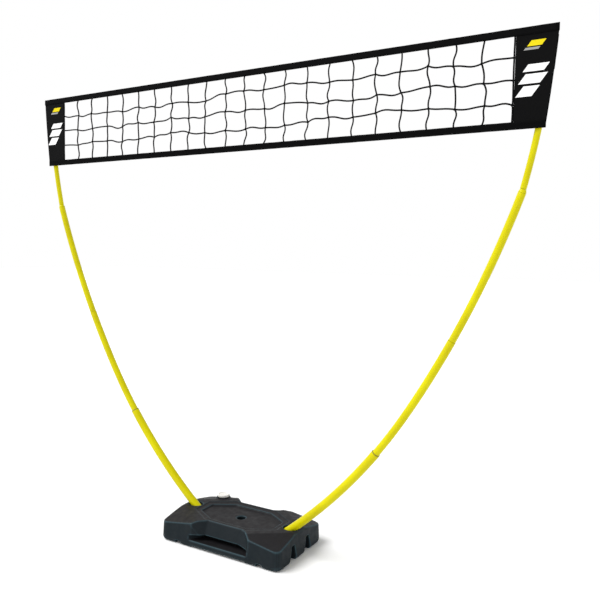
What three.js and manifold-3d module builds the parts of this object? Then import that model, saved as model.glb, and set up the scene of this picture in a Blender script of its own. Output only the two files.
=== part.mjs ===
// A small freestanding volleyball net: two bowed poles made of stepped tubes stand in a
// ballast tank and hold a short net between their tips.
// Millimetres, +Z up. X runs along the net, the front is -Y, and the origin is on the
// ground under the middle of the tank.
import * as THREE from 'three';
import * as BufferGeometryUtils from 'three/addons/utils/BufferGeometryUtils.js';
import Module from 'manifold-3d';

const wasm = await Module();
wasm.setup();

// ---- driving dimensions ----
const GAP = 0.4;                 // clearance between pieces that rest on each other

const TANK_LENGTH = 466;
const TANK_WIDTH = 276;
const TANK_HEIGHT = 86;
const TANK_WALL = 3.5;
const FACET_DROP = 26;           // how far a corner slopes down from the top
const PANEL_DEPTH = 9;           // octagon panel sunk in the top
const PANEL_STEP = 3;            // shallower step round the octagon panel
const OCTAGON_LENGTH = 144;      // half sizes of the octagon panel
const OCTAGON_WIDTH = 72;
const OCTAGON_RIM = 20;          // width of the step round it
const OCTAGON_END_SHARE = 0.42;  // the share of each half size that stays straight
const OCTAGON_SIDE_SHARE = 0.5;
const TANK_CORNER = 20;          // corner radius in plan
const EDGE = 8;                  // rounding of the top and bottom edges
const FACET_START_X = 66;        // where a corner's slope leaves the front edge
const FACET_END_X = 166;         // and where it turns to the end
const FACET_END_Y = -66;
const STAKE_RADIUS = 15;

const SCOOP_MOUTH = 132;         // half widths of the grip scoop at its mouth and back
const SCOOP_BACK = 66;
const SCOOP_DEPTH = 43;          // at the tank's top
const SCOOP_FOOT_DEPTH = 18;     // at the lip, so that the scoop's back slopes
const SCOOP_LIP = 24;            // height of the lip left under the scoop
const SLOT_MOUTH = 122;          // finger slot at the bottom of the scoop
const SLOT_BACK = 82;
const SLOT_DEPTH = 54;
const SLOT_TOP = 41;

const CHANNEL_X = 108;           // half length of the raised middle of the underside
const CHANNEL_HEIGHT = 6;
const NOTCH_X = 150;             // narrow channel between the front feet
const NOTCH_WIDTH = 22;
const NOTCH_HEIGHT = 12;
const GROOVE_Y = 45;             // grooves between the lobes of each end
const GROOVE_FOOT_WIDTH = 36;
const GROOVE_TOP_WIDTH = 16;
const GROOVE_DEPTH = 24;
const GROOVE_HEIGHT = 52;

const FILLER_X = -150;
const FILLER_Y = 103;
const FILLER_RADIUS = 15;        // hole in the filler boss
const BOSS_RADIUS = 26;
const CAP_RADIUS = 22;
const CAP_HEIGHT = 8;
const SEAL_THICKNESS = 2;
const PLUG_LENGTH = 14;          // how far the cap reaches into the filler hole
const FILL_LEVEL = 58;

const WELL_RIM_LENGTH = 27;      // half sizes of the oval dip round each pole
const WELL_RIM_WIDTH = 21;
const WELL_RIM_DEPTH = 9;
const WELL_RIM_SHIFT = 6;        // the dip's centre is this far inside the pole's

const WELL_X = 200;              // where a pole's centre line meets the tank's top
const WELL_HEADING = 39.5;       // degrees above level at that point
const BOW_RADIUS = 1770;         // arc shared by the lower tube and what slides in it
const LOWER_SPAN = 405;          // visible length of the lower tube
const WELL_SPAN = 92;            // length of the lower tube inside the tank
const OVERSHOOT = 10;            // how far a cut reaches past the tank's surface
const TRAVEL = 150;              // how far the middle tube can slide down
const TRAVEL_MARGIN = 12;        // extra length that keeps the shared curve
const TAIL_MARGIN = 20;
const LOWER_MID_BEND_RADIUS = 3000;
const LOWER_MID_SPAN = 266;      // above the part that slides into the lower tube
const UPPER_MID_RADIUS = 3000;
const UPPER_MID_SPAN = 438;
const UPPER_HEADING = 76;        // the upper tube leaves its joint at this angle
const UPPER_RADIUS = 2200;
const UPPER_SPAN = 386;
const TUBE_WALL = 1.2;
const LOWER_OD = 27;
const LOWER_MID_OD = 23;
const UPPER_MID_OD = 21.5;
const UPPER_OD = 17;
const SPIGOT = 32;               // length of a plug inside a tube
const SHOULDER = 9;              // height of the visible shoulder below the upper tube
const COLLAR = 3;                // height of the ring round a tube's mouth

const NET_TOP = 1550;
const NET_BOTTOM = 1293;
const NET_HALF_TOP = 948;        // outer corners of the end panels
const NET_HALF_BOTTOM = 923;
const NET_HALF_WINDOW = 843;     // inner edges of the end panels
const NET_Y = -12.5;             // the net hangs in front of the poles
const NET_THICKNESS = 2.4;
const BAND_HEIGHT = 20;
const BAND_THICKNESS = 6;
const CORD_SECTION = 3.2;        // width of a netting cord
const COLUMNS = 22;
const ROWS = 4;

const POCKET_BOTTOM = 1440;      // the closed channel over the pole's tip starts here
const POCKET_HEADROOM = 11;      // free height above the pole's tip
const POCKET_ROOM = 9;           // free space on its inner side
const OUTER_ROOM = 2.6;          // and on the outer side of pockets and loops
const LOOP_BOTTOM = 1315;
const LOOP_TOP = 1356;
const LOOP_ROOM = 24;
const CHANNEL_WALL = 1.6;
const BRIM = 7;

const TUBE_SIDES = 16;
const TUBE_STEP = 62;            // length of the straight steps a curved tube is made of

// ---- materials ----
const paint = (color, roughness, metalness = 0) =>
  new THREE.MeshStandardMaterial({ color, roughness, metalness });
const yellowTube = () => paint(0xe6de00, 0.32, 0.1);
const blackPlastic = () => paint(0x3a3839, 0.55);
const darkPlastic = () => paint(0x1c1c1e, 0.5);
const olivePlastic = () => paint(0x8a8210, 0.5);
const whitePlastic = () => paint(0xf2efe9, 0.4);
const blackFabric = () => paint(0x070708, 0.9);
const blackCord = () => paint(0x151516, 0.85);
const sand = () => paint(0xb9a37c, 1);
const rubber = () => paint(0x2a2a2a, 0.8);

// ---- general helpers ----
const part = new THREE.Group();
part.name = 'volleyball_net_on_poles';

function add(name, geometry, material, parent = part) {
  const mesh = new THREE.Mesh(geometry, material);
  mesh.name = name;
  parent.add(mesh);
  return mesh;
}

function toSolid(geometry) {
  const bare = geometry.clone();
  bare.deleteAttribute('normal');
  bare.deleteAttribute('uv');
  const merged = BufferGeometryUtils.mergeVertices(bare, 1e-4);
  return new wasm.Manifold(new wasm.Mesh({
    numProp: 3,
    vertProperties: new Float32Array(merged.attributes.position.array),
    triVerts: new Uint32Array(merged.index.array),
  }));
}

function toGeometry(solid) {
  const mesh = solid.getMesh();
  const geometry = new THREE.BufferGeometry();
  geometry.setAttribute('position', new THREE.BufferAttribute(mesh.vertProperties, 3));
  geometry.setIndex(new THREE.BufferAttribute(mesh.triVerts, 1));
  geometry.computeVertexNormals();
  return geometry;
}

const joinAll = (solids) => solids.reduce((sum, solid) => sum.add(solid));
const cutAll = (solid, tools) => tools.reduce((rest, tool) => rest.subtract(tool), solid);

const radians = THREE.MathUtils.degToRad;

function outline(points) {
  return new THREE.Shape(points.map(([x, y]) => new THREE.Vector2(x, y)));
}

// an outline in X and Y, raised from one height to another
function upright(shape, bottom, top) {
  const geometry = new THREE.ExtrudeGeometry(shape, {
    depth: top - bottom, bevelEnabled: false, curveSegments: 12,
  });
  return geometry.translate(0, 0, bottom);
}

function box(x0, x1, y0, y1, z0, z1) {
  const geometry = new THREE.BoxGeometry(x1 - x0, y1 - y0, z1 - z0);
  return geometry.translate((x0 + x1) / 2, (y0 + y1) / 2, (z0 + z1) / 2);
}

// an outline in Y and Z, drawn out along X
function along(shape, x0, x1) {
  const geometry = new THREE.ExtrudeGeometry(shape, {
    depth: x1 - x0, bevelEnabled: false, curveSegments: 8,
  });
  // the outline's own x and y become Y and Z
  const turn = new THREE.Matrix4().set(0, 0, 1, x0, 1, 0, 0, 0, 0, 1, 0, 0, 0, 0, 0, 1);
  return geometry.applyMatrix4(turn);
}

// the same piece reflected in X or Y, with its faces still pointing out
function mirrored(geometry, axis = 'x') {
  const flipped = geometry.clone();
  flipped.scale(axis === 'x' ? -1 : 1, axis === 'y' ? -1 : 1, 1);
  if (!flipped.index) {
    const count = flipped.attributes.position.count;
    flipped.setIndex([...Array(count).keys()]);
  }
  const index = flipped.index.array;
  for (let i = 0; i < index.length; i += 3) {
    [index[i], index[i + 1]] = [index[i + 1], index[i]];
  }
  flipped.computeVertexNormals();
  return flipped;
}

function addPair(name, geometry, material) {
  add(`right_${name}`, geometry, material());
  add(`left_${name}`, mirrored(geometry), material());
}

// a solid skinned over rings of equal point count, bottom ring first
function skinned(rings) {
  const count = rings[0].length;
  const positions = rings.flat(2);
  const index = [];
  for (let r = 0; r + 1 < rings.length; r++) {
    for (let i = 0; i < count; i++) {
      const a = r * count + i;
      const b = r * count + (i + 1) % count;
      index.push(a, b, b + count, a, b + count, a + count);
    }
  }
  const last = (rings.length - 1) * count;
  for (let i = 1; i + 1 < count; i++) {
    index.push(0, i + 1, i);
    index.push(last, last + i, last + i + 1);
  }
  const geometry = new THREE.BufferGeometry();
  geometry.setAttribute('position', new THREE.Float32BufferAttribute(positions, 3));
  geometry.setIndex(index);
  return toSolid(geometry);
}

function disc(radius, x = 0, y = 0) {
  const shape = new THREE.Shape();
  shape.absarc(x, y, radius, 0, 2 * Math.PI);
  return shape;
}

// a round tube along a curve, or a rod if the inner radius is zero
function tube(bow, outer, inner) {
  const shape = disc(outer);
  if (inner > 0) shape.holes.push(disc(inner));
  return new THREE.ExtrudeGeometry(shape, {
    steps: Math.max(1, Math.round(bow.length / TUBE_STEP)),
    curveSegments: TUBE_SIDES / 2,
    extrudePath: bow,
  });
}

// ---- the poles' centre line, for the right-hand pole ----
// a plane curve in X and Z that starts at a point and turns by arcs of given span and radius
class Bow extends THREE.Curve {
  constructor(start, heading, arcs) {
    super();
    this.start = start;
    this.heading = heading;
    this.arcs = arcs;
    this.length = arcs.reduce((sum, arc) => sum + arc.span, 0);
  }

  // position and heading after walking a distance along the curve
  walk(distance) {
    let [x, z] = this.start;
    let heading = this.heading;
    let left = distance;
    this.arcs.forEach((arc, i) => {
      const last = i === this.arcs.length - 1;
      const step = last ? left : THREE.MathUtils.clamp(left, 0, arc.span);
      const next = heading + step / arc.radius;
      x += arc.radius * (Math.sin(next) - Math.sin(heading));
      z += arc.radius * (Math.cos(heading) - Math.cos(next));
      heading = next;
      left -= step;
    });
    return { x, z, heading };
  }

  getPoint(t, target = new THREE.Vector3()) {
    const { x, z } = this.walk(t * this.length);
    return target.set(x, 0, z);
  }
}

const piece = (bow, from, arcs) => {
  const at = bow.walk(from);
  return new Bow([at.x, at.z], at.heading, arcs);
};

// the shared arc, measured from where it passes the tank's top
const sharedArc = new Bow([WELL_X, TANK_HEIGHT], radians(WELL_HEADING),
  [{ span: LOWER_SPAN + TRAVEL, radius: BOW_RADIUS }]);
const lowerBow = piece(sharedArc, -WELL_SPAN,
  [{ span: WELL_SPAN + LOWER_SPAN, radius: BOW_RADIUS }]);
// the sliding tail, which stays in the lower tube at rest
const TAIL_START = LOWER_SPAN - TRAVEL - TAIL_MARGIN;
const lowerMidBow = piece(sharedArc, TAIL_START, [
  { span: LOWER_SPAN + TRAVEL + TRAVEL_MARGIN - TAIL_START, radius: BOW_RADIUS },
  { span: LOWER_MID_SPAN - TRAVEL_MARGIN, radius: LOWER_MID_BEND_RADIUS },
]);
const midJoint = lowerMidBow.walk(lowerMidBow.length);
const upperMidBow = new Bow([midJoint.x, midJoint.z], midJoint.heading,
  [{ span: UPPER_MID_SPAN, radius: UPPER_MID_RADIUS }]);
const upperJoint = upperMidBow.walk(UPPER_MID_SPAN);
const upperBow = new Bow([upperJoint.x, upperJoint.z], radians(UPPER_HEADING),
  [{ span: UPPER_SPAN, radius: UPPER_RADIUS }]);

// ---- the tank ----
// a rounded rectangle ring at one height
function roundedRing(halfLength, halfWidth, radius, z) {
  const ring = [];
  const steps = 4;
  for (let corner = 0; corner < 4; corner++) {
    const sx = corner === 0 || corner === 3 ? 1 : -1;
    const sy = corner < 2 ? 1 : -1;
    for (let i = 0; i <= steps; i++) {
      const angle = (corner + i / steps) * Math.PI / 2;
      ring.push([
        sx * (halfLength - radius) + radius * Math.cos(angle),
        sy * (halfWidth - radius) + radius * Math.sin(angle),
        z,
      ]);
    }
  }
  return ring;
}

// The slope of one front corner, as a block resting on the sloping plane. The plane
// leaves the top along a diagonal and reaches the corner FACET_DROP lower.
function cornerSlope(grow) {
  const start = new THREE.Vector3(FACET_START_X, -TANK_WIDTH / 2, TANK_HEIGHT);
  const end = new THREE.Vector3(FACET_END_X, FACET_END_Y, TANK_HEIGHT);
  const low = new THREE.Vector3(TANK_LENGTH / 2, -TANK_WIDTH / 2, TANK_HEIGHT - FACET_DROP);
  const alongEdge = end.clone().sub(start).normalize();
  const up = alongEdge.clone().cross(low.clone().sub(start)).normalize();
  if (up.z < 0) up.negate();
  const downSlope = up.clone().cross(alongEdge);
  const size = TANK_LENGTH;
  const block = new THREE.BoxGeometry(2 * size, 2 * size, size);
  block.translate(0, 0, size / 2 - grow);
  const frame = new THREE.Matrix4().makeBasis(alongEdge, downSlope, up);
  return block.applyMatrix4(frame).translate(start.x, start.y, start.z);
}

// a cut repeated at both ends, on both sides, or at all four corners
const atEnds = (geometry) => [geometry, mirrored(geometry, 'x')];
const atSides = (geometry) => [geometry, mirrored(geometry, 'y')];
const atCorners = (geometry) => atEnds(geometry).flatMap(atSides);

function tankBody(inset) {
  const length = TANK_LENGTH / 2 - inset;
  const width = TANK_WIDTH / 2 - inset;
  const top = TANK_HEIGHT - inset;
  const radius = TANK_CORNER - inset;
  return skinned([
    roundedRing(length - EDGE, width - EDGE, radius, inset),
    roundedRing(length - EDGE / 4, width - EDGE / 4, radius, inset + EDGE / 2),
    roundedRing(length, width, radius, inset + 1.5 * EDGE),
    roundedRing(length - 2, width - 2, radius, top - 1.5 * EDGE),
    roundedRing(length - 2 - EDGE / 4, width - 2 - EDGE / 4, radius, top - EDGE / 2),
    roundedRing(length - 2 - EDGE, width - 2 - EDGE, radius, top),
  ]);
}

// an octagon stretched along X
function octagon(halfLength, halfWidth) {
  const shortX = halfLength * OCTAGON_SIDE_SHARE;
  const shortY = halfWidth * OCTAGON_END_SHARE;
  return outline([
    [halfLength, -shortY], [halfLength, shortY], [shortX, halfWidth], [-shortX, halfWidth],
    [-halfLength, shortY], [-halfLength, -shortY], [-shortX, -halfWidth],
    [shortX, -halfWidth],
  ]);
}

function oval(halfLength, halfWidth, x) {
  const shape = new THREE.Shape();
  shape.absellipse(x, 0, halfLength, halfWidth, 0, 2 * Math.PI);
  return shape;
}

// a trapezoid in plan, open to the front, as a ring at one height
function scoopRing(mouth, back, depth, grow, z) {
  const front = -TANK_WIDTH / 2 - OVERSHOOT;
  const rear = -TANK_WIDTH / 2 + depth + grow;
  return [
    [-mouth - grow, front, z], [mouth + grow, front, z],
    [back + grow, rear, z], [-back - grow, rear, z],
  ];
}

// the front scoop with its sloping back, and the finger slot at its foot
function gripCuts(grow) {
  const high = TANK_HEIGHT + 2 * OVERSHOOT;
  const rise = (high - SCOOP_LIP) / (TANK_HEIGHT - SCOOP_LIP);
  const deepest = SCOOP_FOOT_DEPTH + (SCOOP_DEPTH - SCOOP_FOOT_DEPTH) * rise;
  return [
    skinned([
      scoopRing(SCOOP_MOUTH, SCOOP_BACK, SCOOP_FOOT_DEPTH, grow, SCOOP_LIP - grow),
      scoopRing(SCOOP_MOUTH, SCOOP_BACK, deepest, grow, high),
    ]),
    skinned([
      scoopRing(SLOT_MOUTH, SLOT_BACK, SLOT_DEPTH, grow, SCOOP_LIP - grow),
      scoopRing(SLOT_MOUTH, SLOT_BACK, SLOT_DEPTH, grow, SLOT_TOP + grow),
    ]),
  ];
}

// a groove up the end of the tank, wider at the ground
function grooveOutline(grow) {
  const foot = GROOVE_FOOT_WIDTH / 2 + grow;
  const top = GROOVE_TOP_WIDTH / 2 + grow;
  return outline([
    [-GROOVE_Y - foot, -OVERSHOOT], [-GROOVE_Y + foot, -OVERSHOOT],
    [-GROOVE_Y + foot, NOTCH_HEIGHT + grow],
    [-GROOVE_Y + top, GROOVE_HEIGHT + grow], [-GROOVE_Y - top, GROOVE_HEIGHT + grow],
    [-GROOVE_Y - foot, NOTCH_HEIGHT + grow],
  ]);
}

// everything cut into the tank; grow makes each cut bigger, for the walls around it
function tankCuts(grow) {
  const high = TANK_HEIGHT + 2 * OVERSHOOT;
  const end = TANK_LENGTH / 2;
  const half = TANK_WIDTH / 2 + OVERSHOOT;
  // the pole's bore goes on above the tank, to cut through the sloping opening
  const wellBore = piece(lowerBow, -GAP - grow,
    [{ span: GAP + grow + WELL_SPAN + 6 * OVERSHOOT, radius: BOW_RADIUS }]);
  return [
    ...atCorners(cornerSlope(grow)),
    upright(octagon(OCTAGON_LENGTH + OCTAGON_RIM + grow, OCTAGON_WIDTH + OCTAGON_RIM + grow),
      TANK_HEIGHT - PANEL_STEP - grow, high),
    upright(octagon(OCTAGON_LENGTH + grow, OCTAGON_WIDTH + grow),
      TANK_HEIGHT - PANEL_DEPTH - grow, high),
    upright(disc(STAKE_RADIUS + grow), -OVERSHOOT, high),
    ...atEnds(upright(oval(WELL_RIM_LENGTH + grow, WELL_RIM_WIDTH + grow, WELL_X - WELL_RIM_SHIFT),
      TANK_HEIGHT - WELL_RIM_DEPTH - grow, high)),
    ...atEnds(tube(wellBore, LOWER_OD / 2 + GAP + grow, 0)),
    ...atCorners(along(grooveOutline(grow), end - GROOVE_DEPTH - grow, end + OVERSHOOT)),
    ...atCorners(box(NOTCH_X + NOTCH_WIDTH - grow, end + OVERSHOOT,
      -GROOVE_Y - GROOVE_TOP_WIDTH / 2 - grow, -GROOVE_Y + GROOVE_TOP_WIDTH / 2 + grow,
      -OVERSHOOT, NOTCH_HEIGHT + grow)),
    ...atEnds(box(NOTCH_X - grow, NOTCH_X + NOTCH_WIDTH + grow, -half, half,
      -OVERSHOOT, NOTCH_HEIGHT + grow)),
    box(-CHANNEL_X - grow, CHANNEL_X + grow, -half, half, -OVERSHOOT, CHANNEL_HEIGHT + grow),
  ].map(toSolid).concat(gripCuts(grow).flatMap((grip) => [grip, grip.mirror([0, 1, 0])]));
}

function addTank() {
  const boss = toSolid(upright(disc(BOSS_RADIUS, FILLER_X, FILLER_Y),
    FILL_LEVEL, TANK_HEIGHT));
  const filler = toSolid(upright(disc(FILLER_RADIUS, FILLER_X, FILLER_Y),
    FILL_LEVEL - 1, TANK_HEIGHT + 1));
  const outside = cutAll(tankBody(0), tankCuts(0)).add(boss);
  const inside = cutAll(tankBody(TANK_WALL), tankCuts(TANK_WALL));
  const shell = outside.subtract(inside).subtract(filler);
  add('base_shell', toGeometry(shell), blackPlastic());

  const clear = TANK_WALL + GAP;
  const below = toSolid(box(-TANK_LENGTH, TANK_LENGTH, -TANK_WIDTH, TANK_WIDTH, 0, FILL_LEVEL));
  const ballast = cutAll(tankBody(clear), tankCuts(clear)).intersect(below);
  add('ballast_fill', toGeometry(ballast), sand());
}

// a turned piece from its half outline of radius and height
function turned(points, segments = TUBE_SIDES) {
  const profile = points.map(([radius, z]) => new THREE.Vector2(radius, z));
  // the lathe turns about Y, so it is stood up; the profile runs up the outside
  return new THREE.LatheGeometry(profile, segments).rotateX(Math.PI / 2);
}

// ---- the filler cap ----
const fillerTop = TANK_HEIGHT + GAP;

function addFiller() {
  const seal = turned([
    [FILLER_RADIUS + 1, 0], [CAP_RADIUS - 2, 0], [CAP_RADIUS - 2, SEAL_THICKNESS],
    [FILLER_RADIUS + 1, SEAL_THICKNESS], [FILLER_RADIUS + 1, 0],
  ]);
  add('cap_seal', seal.translate(FILLER_X, FILLER_Y, fillerTop), rubber());

  const plug = FILLER_RADIUS - 1;
  const cap = turned([
    [0, -PLUG_LENGTH], [plug - 2, -PLUG_LENGTH], [plug, 2 - PLUG_LENGTH], [plug, 0],
    [CAP_RADIUS, 0],
    [CAP_RADIUS, CAP_HEIGHT - 2], [CAP_RADIUS - 2, CAP_HEIGHT], [0, CAP_HEIGHT],
  ]);
  const seat = fillerTop + SEAL_THICKNESS + GAP;
  add('filler_cap', cap.translate(FILLER_X, FILLER_Y, seat), whitePlastic());
}

// ---- the poles ----
// sets a turned piece on a curve so that its own Z runs up the curve
function seated(geometry, bow, distance) {
  const { x, z, heading } = bow.walk(distance);
  return geometry.rotateY(Math.PI / 2 - heading).translate(x, 0, z);
}

// the largest round piece that slides freely in a tube, allowing for its flat sides
const fitsIn = (tubeOD) => (tubeOD / 2 - TUBE_WALL) * Math.cos(Math.PI / TUBE_SIDES) - GAP;

const steppedTube = (name, bow, diameter) =>
  addPair(name, tube(bow, diameter / 2, diameter / 2 - TUBE_WALL), yellowTube);

function addPoles() {
  steppedTube('lower_tube', lowerBow, LOWER_OD);
  steppedTube('lower_mid_tube', lowerMidBow, LOWER_MID_OD);
  steppedTube('upper_mid_tube', piece(upperMidBow, GAP, [
    { span: UPPER_MID_SPAN - GAP, radius: UPPER_MID_RADIUS },
  ]), UPPER_MID_OD);
  // the kink tips the upper tube's lower rim towards the shoulder it stands on
  const kink = radians(UPPER_HEADING) - upperJoint.heading;
  const upperStart = SHOULDER + GAP + UPPER_OD / 2 * Math.sin(kink);
  steppedTube('upper_tube', piece(upperBow, upperStart, [
    { span: UPPER_SPAN - upperStart, radius: UPPER_RADIUS },
  ]), UPPER_OD);

  // the ring that closes the lower tube's mouth round the tube that slides in it
  const bore = LOWER_MID_OD / 2 + GAP;
  const ring = turned([
    [bore, 0], [LOWER_OD / 2, 0], [LOWER_OD / 2, COLLAR - 1], [LOWER_OD / 2 - 1, COLLAR],
    [bore, COLLAR], [bore, 0],
  ]);
  addPair('mouth_collar', seated(ring, sharedArc, LOWER_SPAN + GAP), olivePlastic);

  // the plastic end of the sliding tail, wider than the tail so that it guides it
  const stem = fitsIn(LOWER_MID_OD);
  const guide = turned([
    [0, -5], [fitsIn(LOWER_OD), -5], [fitsIn(LOWER_OD), -GAP], [stem, -GAP],
    [stem, SPIGOT / 2], [0, SPIGOT / 2],
  ], TUBE_SIDES);
  addPair('tail_guide', seated(guide, lowerMidBow, 0), darkPlastic);

  // the sleeve inside the joint between the two middle tubes
  const below = piece(lowerMidBow, lowerMidBow.length - SPIGOT,
    [{ span: SPIGOT, radius: LOWER_MID_BEND_RADIUS }]);
  const above = piece(upperMidBow, -0.5, [{ span: SPIGOT, radius: UPPER_MID_RADIUS }]);
  const sleeveBore = fitsIn(UPPER_MID_OD) - 2;
  const coupler = joinAll([
    toSolid(tube(below, fitsIn(LOWER_MID_OD), sleeveBore)),
    toSolid(tube(above, fitsIn(UPPER_MID_OD), sleeveBore)),
  ]);
  addPair('mid_coupler', toGeometry(coupler), darkPlastic);

  // the plug that steps the pole down to its thinnest tube and turns it more upright
  const plugStem = piece(upperMidBow, UPPER_MID_SPAN - SPIGOT,
    [{ span: SPIGOT + 1, radius: UPPER_MID_RADIUS }]);
  const plugTip = piece(upperBow, 0, [{ span: SPIGOT + SHOULDER, radius: UPPER_RADIUS }]);
  const shoulder = turned([
    [0, GAP], [UPPER_MID_OD / 2, GAP], [UPPER_MID_OD / 2, 2], [UPPER_OD / 2, SHOULDER],
    [0, SHOULDER],
  ], TUBE_SIDES);
  const reducer = joinAll([
    toSolid(tube(plugStem, fitsIn(UPPER_MID_OD), 0)),
    toSolid(seated(shoulder, upperMidBow, UPPER_MID_SPAN)),
    toSolid(tube(plugTip, fitsIn(UPPER_OD), 0)),
  ]);
  addPair('reducer_plug', toGeometry(reducer), yellowTube);

  const dome = turned([
    [0, -SPIGOT / 2], [fitsIn(UPPER_OD), -SPIGOT / 2], [fitsIn(UPPER_OD), GAP],
    [UPPER_OD / 2, GAP], [UPPER_OD / 2, 2], [UPPER_OD / 2 - 3, 5], [0, 6],
  ], TUBE_SIDES);
  addPair('tip_cap', seated(dome, upperBow, UPPER_SPAN), darkPlastic);
}

// ---- the net ----
const netFront = NET_Y - NET_THICKNESS / 2;
const slotDepth = BAND_HEIGHT - 3;
const meshReach = slotDepth - 5;      // how far netting and panels go into a band
const windowTop = NET_TOP - BAND_HEIGHT;
const windowBottom = NET_BOTTOM + BAND_HEIGHT;

// an outline in X and Z, given thickness in Y at the net's plane
function flatPiece(shape) {
  const geometry = new THREE.ExtrudeGeometry(shape, {
    depth: NET_THICKNESS, bevelEnabled: false,
  });
  return geometry.rotateX(Math.PI / 2).translate(0, netFront + NET_THICKNESS, 0);
}

// both edges of each of a row of cords, evenly spaced between two outer edges
function cordEdges(low, high, spaces) {
  const edges = [];
  for (let i = 0; i <= spaces; i++) {
    const start = THREE.MathUtils.mapLinear(i, 0, spaces, low, high - CORD_SECTION);
    edges.push(start, start + CORD_SECTION);
  }
  return edges;
}

// A flat mesh of square cords as one closed surface. Between cord edges the plane is a
// grid of tiles: a tile is solid where it lies on an upright or a level cord.
function cordMesh(xs, zs, y0, y1) {
  const positions = [];
  const quad = (...corners) => {
    const [a, b, c, d] = corners;
    positions.push(...a, ...b, ...c, ...a, ...c, ...d);
  };
  const solid = (i, k) => i >= 0 && k >= 0 && i < xs.length - 1 && k < zs.length - 1
    && (i % 2 === 0 || k % 2 === 0);
  for (let i = 0; i < xs.length - 1; i++) {
    for (let k = 0; k < zs.length - 1; k++) {
      if (!solid(i, k)) continue;
      const [xa, xb, za, zb] = [xs[i], xs[i + 1], zs[k], zs[k + 1]];
      quad([xa, y0, za], [xb, y0, za], [xb, y0, zb], [xa, y0, zb]);
      quad([xa, y1, za], [xa, y1, zb], [xb, y1, zb], [xb, y1, za]);
      if (!solid(i - 1, k)) quad([xa, y0, za], [xa, y0, zb], [xa, y1, zb], [xa, y1, za]);
      if (!solid(i + 1, k)) quad([xb, y0, za], [xb, y1, za], [xb, y1, zb], [xb, y0, zb]);
      if (!solid(i, k - 1)) quad([xa, y0, za], [xa, y1, za], [xb, y1, za], [xb, y0, za]);
      if (!solid(i, k + 1)) quad([xa, y0, zb], [xb, y0, zb], [xb, y1, zb], [xa, y1, zb]);
    }
  }
  const geometry = new THREE.BufferGeometry();
  geometry.setAttribute('position', new THREE.Float32BufferAttribute(positions, 3));
  geometry.computeVertexNormals();
  return geometry;
}

// the outermost level cords lie inside the bands
function addNetting() {
  const halfLength = NET_HALF_WINDOW - GAP;
  const low = windowBottom - meshReach;
  const high = windowTop + meshReach;
  const rows = cordEdges(windowBottom - CORD_SECTION / 2, windowTop + CORD_SECTION / 2, ROWS);
  const heights = [low, low + CORD_SECTION, ...rows.slice(2, -2), high - CORD_SECTION, high];
  const columns = cordEdges(-halfLength, halfLength, COLUMNS);
  const netting = cordMesh(columns, heights, netFront, netFront + NET_THICKNESS);
  add('netting', netting, blackCord());
}

// folded tape in Y and Z with its slot facing down from the net's top edge
function bandOutline() {
  const half = BAND_THICKNESS / 2;
  const slot = NET_THICKNESS / 2 + GAP;
  const corner = 1.2;
  return outline([
    [-half, 0], [-slot, 0], [-slot, slotDepth], [slot, slotDepth], [slot, 0], [half, 0],
    [half, BAND_HEIGHT - corner], [half - corner, BAND_HEIGHT],
    [corner - half, BAND_HEIGHT], [-half, BAND_HEIGHT - corner],
  ]);
}

function addBand(name, halfLength, foldZ, side) {
  const band = along(bandOutline(), -halfLength, halfLength);
  const cordRadius = NET_THICKNESS / 2;
  const cord = along(disc(cordRadius, 0, slotDepth - cordRadius - GAP), -halfLength, halfLength);
  for (const [kind, geometry, material] of [['band', band, blackFabric()],
    ['cord', cord, blackCord()]]) {
    if (side < 0) geometry.rotateX(Math.PI);
    geometry.translate(0, NET_Y, foldZ - side * BAND_HEIGHT);
    add(`${name}_${kind}`, geometry, material);
  }
}

function addPanels() {
  const bottom = windowBottom - meshReach;
  const top = windowTop + meshReach;
  const edgeAt = (z) => THREE.MathUtils.mapLinear(z, NET_BOTTOM, NET_TOP,
    NET_HALF_BOTTOM, NET_HALF_TOP);
  const panel = flatPiece(outline([
    [NET_HALF_WINDOW, bottom], [edgeAt(bottom), bottom], [edgeAt(top), top],
    [NET_HALF_WINDOW, top],
  ]));
  addPair('panel', panel, blackFabric);
}

// the distance along the upper tube's curve at which it reaches a height
function reachHeight(z) {
  let low = 0;
  let high = UPPER_SPAN;
  while (high - low > 0.01) {
    const middle = (low + high) / 2;
    if (upperBow.walk(middle).z < z) low = middle; else high = middle;
  }
  return upperBow.walk(low);
}

// A channel sewn to the back of the panel round the pole, with room for the pole to lean
// as it slides down. In plan it is a hat with its brim on the inner side only.
function channel(bottom, top, room, closed) {
  const at = reachHeight(bottom);
  const end = reachHeight(Math.min(top, upperBow.walk(UPPER_SPAN).z));
  const lean = (end.x - at.x) / (end.z - at.z);
  const front = NET_Y + NET_THICKNESS / 2 + GAP;
  const inner = at.x - UPPER_OD / 2 - room;
  const outer = at.x + UPPER_OD / 2 + OUTER_ROOM;
  const back = UPPER_OD / 2 + 1;
  const wall = CHANNEL_WALL;
  const hat = outline([
    [inner - wall - BRIM, front], [inner, front], [inner, back], [outer, back],
    [outer, front], [outer + wall, front], [outer + wall, back + wall],
    [inner - wall, back + wall], [inner - wall, front + wall],
    [inner - wall - BRIM, front + wall],
  ]);
  const walls = upright(hat, bottom, top);
  const pieces = [toSolid(walls)];
  if (closed) {
    pieces.push(toSolid(box(inner - wall, outer + wall, front, back + wall, top - wall, top)));
  }
  const shear = new THREE.Matrix4().makeShear(0, 0, 0, 0, lean, 0);
  const geometry = toGeometry(joinAll(pieces));
  return geometry.translate(0, 0, -bottom).applyMatrix4(shear).translate(0, 0, bottom);
}

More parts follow.
